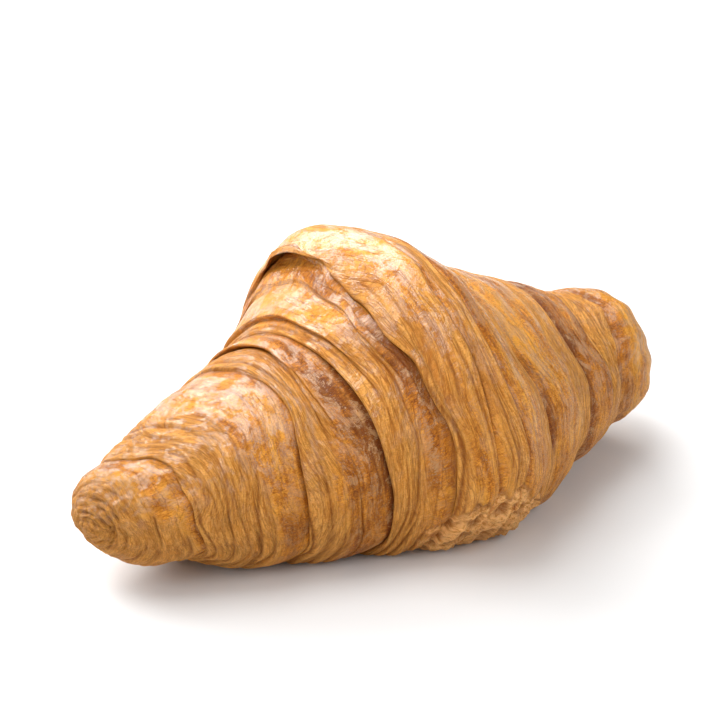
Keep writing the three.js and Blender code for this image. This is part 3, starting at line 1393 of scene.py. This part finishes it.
    def material(self) -> bpy.types.Material:
        """Builds the material.

        Returns:
            A material that reads the crust's own attributes.
        """
        material = bpy.data.materials.new("baked_crust")
        graph = Graph(material)
        shader = graph.shader(
            Specular_IOR_Level=self.specular,
            Coat_Roughness=self.wash_roughness,
            Coat_IOR=self.wash_ior,
            Subsurface_Weight=self.glow,
            Subsurface_Radius=self.glow_colour,
            Subsurface_Scale=self.glow_depth,
        )
        marks = self.marks(graph)
        graph.feed(shader.inputs["Base Color"], self.colour(graph, marks))
        self.shine(graph, marks, shader)
        self.bumps(graph, marks, shader)
        return material

    def marks(self, graph: Graph) -> Marks:
        """Reads the attributes and adds the noises.

        Args:
            graph: The material's nodes.

        Returns:
            The values that the colour, the shine and the relief share.
        """
        roll = graph.attribute("roll", "Vector")
        layers = graph.attribute("layers")
        height = graph.node("SeparateXYZ", Vector=roll).outputs["Z"]
        speckle, pores = self.speckle.add(graph, roll), self.pores.add(graph, roll)
        flakes = graph.uneven(self.flakes.add(graph, roll), ((pores, self.ragged_flakes),))
        swings = (
            (self.patches.add(graph, roll), self.patches.swing),
            (self.bands.add(graph, roll), self.bands.swing),
            (speckle, self.speckle.swing),
            (pores, self.pores.swing),
        )
        splits = graph.math("MAXIMUM", self.splits.add(graph, roll), self.crackle.add(graph, roll))
        leaves = graph.times(self.leaves.add(graph, roll), layers)
        return Marks(
            layers=layers,
            painted_shade=graph.attribute("painted_shade"),
            crumb=graph.attribute("crumb"),
            edge=graph.attribute("edge"),
            washed=graph.levels(height, *self.wash_at, *self.wash),
            streaks=self.streaks.add(graph, roll),
            fibres=self.fibres.add(graph, roll),
            speckle=speckle,
            pores=pores,
            wrinkles=self.wrinkles.add(graph, roll),
            flakes=flakes,
            blisters=graph.levels(flakes, *self.blister_at),
            darker=graph.uneven(graph.math("ADD", graph.attribute("bake"), self.least_bake), swings),
            lines=graph.math("MAXIMUM", splits, leaves),
        )

    def colour(self, graph: Graph, marks: Marks) -> Socket:
        """Works the crust's colour out, with the shade and highlights painted into it.

        Args:
            graph: The material's nodes.
            marks: The attributes and noises.

        Returns:
            The colour.
        """
        skin = graph.mix(graph.levels(marks.darker, *self.amber_at), self.golden, self.amber)
        skin = graph.mix(graph.levels(marks.darker, *self.brown_at), skin, self.brown)
        # Pale loose blisters: their own paler colour, and partly a painted highlight for their sheen.
        loose = graph.levels(marks.darker, *self.loose_at, *self.loose)
        skin = graph.mix(graph.times(marks.blisters, loose), skin, self.pale_blister_and_sheen)
        swings = ((marks.fibres, self.fibre_swing), (marks.pores, self.pore_swing))
        grain = graph.uneven(marks.streaks, swings)
        sheet = graph.mix(graph.levels(grain, *self.streak_at), self.layer, self.pale_layer_and_highlight)
        baked = graph.levels(marks.darker, *self.baked_layer_at, *self.baked_layer)
        sheet = graph.mix(baked, sheet, self.amber)
        colour = graph.mix(marks.layers, skin, sheet)
        # Painted highlight on the crests of the layers' edges.
        colour = graph.mix(graph.times(marks.edge, self.crest_highlight), colour, self.pale_layer_and_highlight)
        # Painted shade in the splits between layers and in the cracks of the glaze.
        colour = graph.mix(marks.lines, colour, self.painted_shade)
        # Torn crumb, with painted shade in its pits where the fine grain is low.
        torn = graph.mix(graph.levels(marks.speckle, *self.pit_at), self.crumb_pit_shade, self.crumb)
        colour = graph.mix(marks.crumb, colour, torn)
        # Painted shade in the creases, at the feet of the steps and in the torn end.
        return graph.mix(graph.times(marks.painted_shade, self.crease), colour, self.painted_shade)

    def shine(self, graph: Graph, marks: Marks, shader: bpy.types.Node) -> None:
        """Feeds the shader's roughness and the weight of its egg wash.

        Args:
            graph: The material's nodes.
            marks: The attributes and noises.
            shader: The shader.
        """
        matte = graph.math("MAXIMUM", marks.layers, marks.crumb)
        skin = graph.levels(marks.speckle, *self.rough_at, *self.skin_roughness)
        graph.feed(shader.inputs["Roughness"], graph.between(matte, skin, self.layer_roughness))
        on_skin = graph.levels(marks.flakes, *self.glaze_at)
        on_layers = graph.levels(marks.flakes, *self.layer_glaze_at, *self.layer_glaze)
        dull = graph.levels(marks.darker, *self.dull_at, *self.dull)
        glaze = graph.times(graph.between(matte, on_skin, on_layers), graph.times(marks.washed, dull))
        graph.feed(shader.inputs["Coat Weight"], glaze)

    def bumps(self, graph: Graph, marks: Marks, shader: bpy.types.Node) -> None:
        """Feeds the shader's fine relief, which its egg wash fills up in part.

        Args:
            graph: The material's nodes.
            marks: The attributes and noises.
            shader: The shader.
        """
        height = graph.blend((
            (marks.wrinkles, self.wrinkles.height),
            (marks.streaks, self.streaks.height),
            (marks.fibres, self.fibres.height),
            (marks.speckle, self.speckle.height),
            (marks.pores, self.pores.height),
            (marks.blisters, self.blister_height),
            (marks.lines, -self.line_depth),
        ))
        for name, strength in (("Normal", self.bump), ("Coat Normal", self.wash_bump)):
            bump = graph.node("Bump", Height=height, Strength=strength, Distance=self.relief)
            graph.feed(shader.inputs[name], bump.outputs[0])


# ---------------------------------------------------------------------------------------------------
# The croissant and its studio
# ---------------------------------------------------------------------------------------------------


@dataclass
class Croissant:
    """The one piece: the roll's mesh, its attributes and its finish.

    Attributes:
        roll: Shape of the crust.
        finish: Its finish.
        grain_radius: Radius at which the grain is as wide around the roll as along it, in millimetres.
        grain_sway: How the grain sways along the roll, in millimetres.
    """

    roll: Roll
    finish: BakedCrust
    grain_radius: float = 40.0
    grain_sway: Waves = Waves(seed=21, turns=5, height=1.1, length=25.0)

    def build(self) -> bpy.types.Object:
        """Makes the croissant.

        Returns:
            The finished object, which stands for the CAD node.
        """
        mesh = self.mesh()
        piece = bpy.data.objects.new("baked_croissant", mesh)
        bpy.context.scene.collection.objects.link(piece)
        mesh.materials.append(self.finish.material())
        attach(piece, "root")
        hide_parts(NODE)
        LOG.info("%s: %d points, %d faces", piece.name, len(mesh.vertices), len(mesh.polygons))
        return piece

    def mesh(self) -> bpy.types.Mesh:
        """Moves the points of a sphere, whose poles become the tips, out to the crust.

        Returns:
            The closed mesh, with its attributes and its chart.
        """
        rings, sides = self.roll.rings, self.roll.sides
        points, fields, along, angle = self.roll.grid()
        mesh = bpy.data.meshes.new("baked_croissant")
        sphere = bmesh.new()
        bmesh.ops.create_uvsphere(sphere, u_segments=sides, v_segments=rings, radius=1.0)
        places = np.array([tuple(vertex.co) for vertex in sphere.verts])
        ring = np.rint(np.arccos(np.clip(-places[:, 2], -1, 1)) / math.pi * rings).astype(int)
        side = np.rint(np.arctan2(places[:, 1], places[:, 0]) / TURN * sides).astype(int) % sides
        side[(ring == 0) | (ring == rings)] = 0
        for vertex, place in zip(sphere.verts, points[ring, side]):
            vertex.co = place
        bmesh.ops.recalc_face_normals(sphere, faces=sphere.faces)
        sphere.to_mesh(mesh)
        sphere.free()
        mesh.shade_smooth()
        self.add_attributes(mesh, fields, along, angle, ring, side)
        self.add_chart(mesh, ring, side)
        return mesh

    def add_attributes(
        self,
        mesh: bpy.types.Mesh,
        fields: Fields,
        along: np.ndarray,
        angle: np.ndarray,
        ring: np.ndarray,
        side: np.ndarray,
    ) -> None:
        """Stores what the crust is made of, and each point's place on the roll, in the mesh.

        Args:
            mesh: The mesh.
            fields: What the crust is made of, ring by ring.
            along: Place of each ring along the roll.
            angle: Angle of each side around it.
            ring: Ring of each of the mesh's points.
            side: Side of each of the mesh's points.
        """
        for name in ("layers", "bake", "painted_shade", "crumb", "edge"):
            attribute = mesh.attributes.new(name, "FLOAT", "POINT")
            attribute.data.foreach_set("value", getattr(fields, name)[ring, side].astype(np.float32))
        rounding = self.roll.end_rounding(along)
        into_tip = np.where(along < 0, -self.roll.radii[0], self.roll.radii[-1]) * (1.0 - rounding)
        swayed = along + into_tip + rounding * self.grain_sway.over(along, angle)
        reach, turned = self.grain_radius * rounding[ring, 0], angle[0, side]
        place = np.stack([swayed[ring, side], reach * np.cos(turned), reach * np.sin(turned)], axis=-1)
        attribute = mesh.attributes.new("roll", "FLOAT_VECTOR", "POINT")
        attribute.data.foreach_set("vector", place.astype(np.float32).ravel())

    def add_chart(self, mesh: bpy.types.Mesh, ring: np.ndarray, side: np.ndarray) -> None:
        """Lays the crust out as one rectangle, ring by ring, with its seam under the roll.

        Args:
            mesh: The mesh.
            ring: Ring of each of its points.
            side: Side of each of its points.
        """
        rings, sides = self.roll.rings, self.roll.sides
        corner = np.empty(len(mesh.loops), dtype=int)
        mesh.loops.foreach_get("vertex_index", corner)
        starts = np.array([face.loop_start for face in mesh.polygons])
        sizes = np.array([face.loop_total for face in mesh.polygons])
        face = np.repeat(np.arange(len(starts)), sizes)
        u, v = ring[corner] / rings, side[corner].astype(float)
        pole = (ring[corner] == 0) | (ring[corner] == rings)
        highest = np.maximum.reduceat(np.where(pole, -1.0, v), starts)[face]
        v = np.where(~pole & (highest - v > sides / 2), v + sides, v)
        total = np.add.reduceat(np.where(pole, 0.0, v), starts)[face]
        v = np.where(pole, total / 2, v)
        chart = mesh.uv_layers.new(name="OFBake")
        chart.uv.foreach_set("vector", np.stack([u, v / sides], axis=-1).astype(np.float32).ravel())


def look_from(azimuth: float, elevation: float) -> Vector:
    """Way from the croissant towards a camera or a light.

    Args:
        azimuth: Turn from the front towards the right, in degrees.
        elevation: Angle over the table, in degrees.

    Returns:
        A vector of length 1.
    """
    turn, up = math.radians(azimuth), math.radians(elevation)
    return Vector((math.sin(turn) * math.cos(up), -math.cos(turn) * math.cos(up), math.sin(up)))


@dataclass(frozen=True)
class Softbox:
    """Oblong soft light that looks at the croissant.

    Attributes:
        name: Name of the light.
        azimuth: Turn from the front towards the right, in degrees.
        elevation: Angle over the table, in degrees.
        distance: Distance from the croissant, in metres.
        width: Width of the light, in metres.
        height: Height of the light, in metres.
        power: Power, in watts.
        target: Point that it looks at, in metres.
    """

    name: str
    azimuth: float
    elevation: float
    distance: float
    width: float
    height: float
    power: float
    target: tuple[float, float, float] = (0.0, 0.0, 0.03)

    def build(self) -> None:
        """Makes the light."""
        data = bpy.data.lights.new(self.name, "AREA")
        data.shape = "RECTANGLE"
        data.size, data.size_y, data.energy = self.width, self.height, self.power
        light = bpy.data.objects.new(self.name, data)
        away = look_from(self.azimuth, self.elevation)
        light.location = Vector(self.target) + away * self.distance
        light.rotation_euler = (-away).to_track_quat("-Z", "Y").to_euler()
        bpy.context.scene.collection.objects.link(light)


@dataclass(frozen=True)
class Studio:
    """Pale floor, soft lights and the camera.

    Attributes:
        azimuth: Turn of the camera from the front towards the right, in degrees.
        elevation: Angle of the camera over the table, in degrees.
        distance: Distance of the camera from its target, in metres.
        lens: Focal length of the camera, in millimetres.
        clip: Nearest and furthest distance that the camera sees, in metres.
        target: Point that the camera looks at, in metres.
        lights: The soft lights.
        surroundings: Strength of the white surroundings.
        floor_colour: Colour of the floor, linear.
        floor_roughness: Roughness of the floor.
        floor_size: Half the length of the floor, in metres.
    """

    azimuth: float = -36.0
    elevation: float = 25.1
    distance: float = 0.405
    lens: float = 85.0
    clip: Span = (0.01, 20.0)
    target: tuple[float, float, float] = (-0.0035, 0.0, 0.038)
    lights: tuple[Softbox, ...] = (
        Softbox("back", azimuth=180.0, elevation=38.0, distance=1.1, width=1.3, height=0.55, power=17.5),
        Softbox("top", azimuth=-130.0, elevation=72.0, distance=1.0, width=0.7, height=0.7, power=8.0),
        Softbox("fill", azimuth=-75.0, elevation=40.0, distance=1.1, width=0.8, height=0.8, power=4.7),
        Softbox("side", azimuth=35.0, elevation=35.0, distance=1.2, width=0.8, height=0.8, power=5.8),
    )
    surroundings: float = 0.28
    floor_colour: Colour = (0.72, 0.72, 0.72)
    floor_roughness: float = 0.7
    floor_size: float = 6.0

    def build(self) -> None:
        """Builds the whole studio."""
        self.floor()
        self.camera()
        self.world()
        for light in self.lights:
            light.build()
        bpy.context.scene.view_settings.view_transform = "Standard"

    def camera(self) -> None:
        """Makes the camera."""
        data = bpy.data.cameras.new("camera")
        data.lens = self.lens
        data.clip_start, data.clip_end = self.clip
        camera = bpy.data.objects.new("camera", data)
        away = look_from(self.azimuth, self.elevation)
        camera.location = Vector(self.target) + away * self.distance
        camera.rotation_euler = (-away).to_track_quat("-Z", "Y").to_euler()
        bpy.context.scene.collection.objects.link(camera)
        bpy.context.scene.camera = camera

    def world(self) -> None:
        """Makes the pale surroundings."""
        world = bpy.data.worlds.new("studio")
        world.use_nodes = True
        background = world.node_tree.nodes["Background"]
        background.inputs["Color"].default_value = (1.0, 1.0, 1.0, 1.0)
        background.inputs["Strength"].default_value = self.surroundings
        bpy.context.scene.world = world

    def floor(self) -> None:
        """Makes the pale floor."""
        mesh = bpy.data.meshes.new("floor")
        sheet = bmesh.new()
        bmesh.ops.create_grid(sheet, x_segments=1, y_segments=1, size=self.floor_size)
        sheet.to_mesh(mesh)
        sheet.free()
        floor = bpy.data.objects.new("floor", mesh)
        bpy.context.scene.collection.objects.link(floor)
        material = bpy.data.materials.new("pale_floor")
        Graph(material).shader(Base_Color=(*self.floor_colour, 1.0), Roughness=self.floor_roughness)
        mesh.materials.append(material)


def main() -> None:
    """Builds the studio and the croissant."""
    logging.basicConfig(level=logging.INFO, format="%(name)s: %(message)s")
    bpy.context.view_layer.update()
    Studio().build()
    LOG.info("studio: floor, lights and camera")
    Croissant(Roll.in_box(*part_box(NODE)), BakedCrust()).build()


if __name__ == "__main__":
    main()
